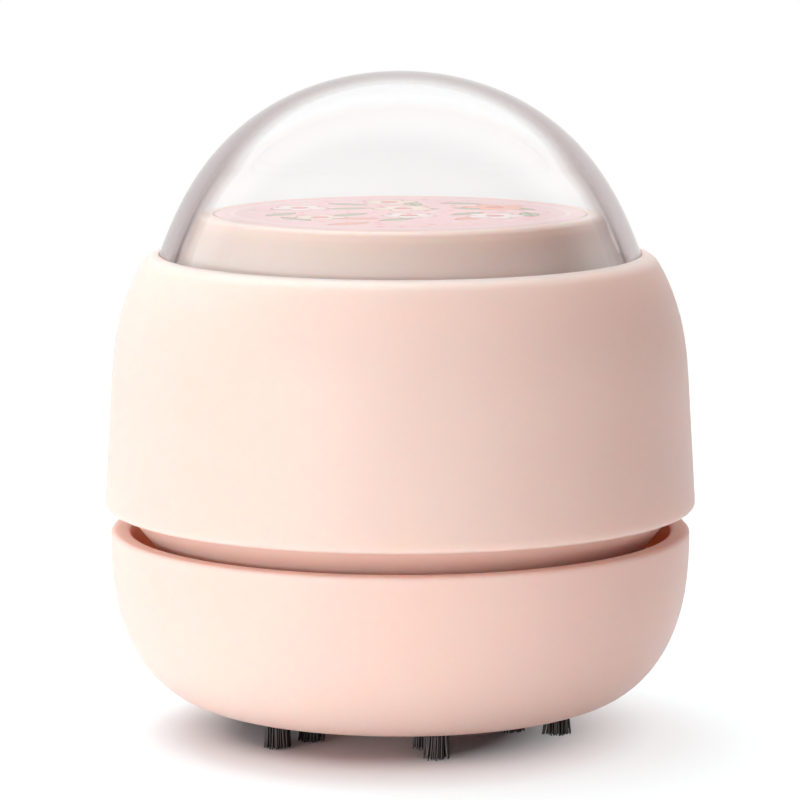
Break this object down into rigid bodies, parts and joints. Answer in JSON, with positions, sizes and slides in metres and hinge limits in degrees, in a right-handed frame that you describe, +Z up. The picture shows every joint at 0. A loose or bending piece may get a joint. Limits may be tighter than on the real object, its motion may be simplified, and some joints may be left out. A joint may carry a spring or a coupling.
{
  "type": "desktop mini vacuum cleaner",
  "caption": "Round table-top crumb vacuum: a lift-off upper half with a clear press dome stands on a dust bowl with a bristled suction nozzle.",
  "frame": {"origin": "on the table under the middle of the pot, at the level of the bristle tips", "axes": "+Z up through the middle of the dome; +Y towards the charging socket at the back; +X to the right seen from the front"},
  "size_m": [0.086, 0.086, 0.0961],
  "materials": {
    "shell": "satin pale pink",
    "inner_shell": "satin pale pink",
    "clear": "clear moulded dome",
    "print": "printed disc",
    "bristle": "dark nylon",
    "white_plastic": "white moulding",
    "black_plastic": "black moulding",
    "seal": "soft silicone",
    "felt": "white filter felt",
    "foam": "black foam",
    "steel": "bright steel",
    "brass": "plain brass",
    "iron": "dark iron",
    "board": "green solder mask",
    "cell_wrap": "silver blue wrap",
    "red_wire": "red insulation",
    "black_wire": "black insulation"
  },
  "bodies": {
    "dust_cup": {"dust_bowl": "shell", "filter_cup": "inner_shell", "suction_nozzle": "inner_shell", "brush_insert_1": "bristle", "brush_insert_2": "bristle", "brush_insert_3": "bristle", "nozzle_screw_1": "steel", "nozzle_screw_2": "steel", "nozzle_screw_3": "steel"},
    "head": {"upper_housing": "shell", "fan_housing": "inner_shell", "collar_seal": "seal", "filter_frame": "white_plastic", "filter_felt": "felt", "fan_inlet_plate": "white_plastic", "motor_plate": "white_plastic", "housing_screw_1": "steel", "housing_screw_2": "steel", "housing_screw_3": "steel", "motor_can": "steel", "motor_end_cap": "black_plastic", "motor_bearing": "brass", "motor_magnet_1": "iron", "motor_magnet_2": "iron", "motor_terminal_1": "brass", "motor_terminal_2": "brass", "motor_screw_1": "steel", "motor_screw_2": "steel", "battery_cell": "cell_wrap", "battery_pad": "foam", "charge_board": "board", "charge_socket": "steel", "charge_lamp": "white_plastic", "light_pipe": "clear", "board_screw_1": "steel", "board_screw_2": "steel", "switch_deck": "white_plastic", "deck_screw_1": "steel", "deck_screw_2": "steel", "deck_screw_3": "steel", "push_switch": "black_plastic", "cell_wire_red": "red_wire", "cell_wire_black": "black_wire", "switch_motor_wire": "red_wire", "switch_board_wire": "red_wire", "motor_board_wire": "black_wire", "button_spring_1": "steel", "button_spring_2": "steel", "button_spring_3": "steel"},
    "fan_rotor": {"motor_shaft": "steel", "motor_armature": "iron", "fan_impeller": "white_plastic"},
    "top_button": {"clear_dome": "clear", "button_cap": "shell", "picture_disc": "print", "switch_plunger": "white_plastic"}
  },
  "joints": [
    {"name": "head_lift", "type": "slide", "parent": "dust_cup", "child": "head", "axis": [0, 0, 1], "range_m": [0, 0.03]},
    {"name": "fan_spin", "type": "hinge", "parent": "head", "child": "fan_rotor", "pos_m": [0, 0, 0.03], "axis": [0, 0, 1], "continuous": true},
    {"name": "top_press", "type": "slide", "parent": "head", "child": "top_button", "axis": [0, 0, -1], "range_m": [0, 0.0025], "stiffness_N_per_m": 700, "springref_m": -0.002, "deforming": ["button_spring_1", "button_spring_2", "button_spring_3"]}
  ]
}
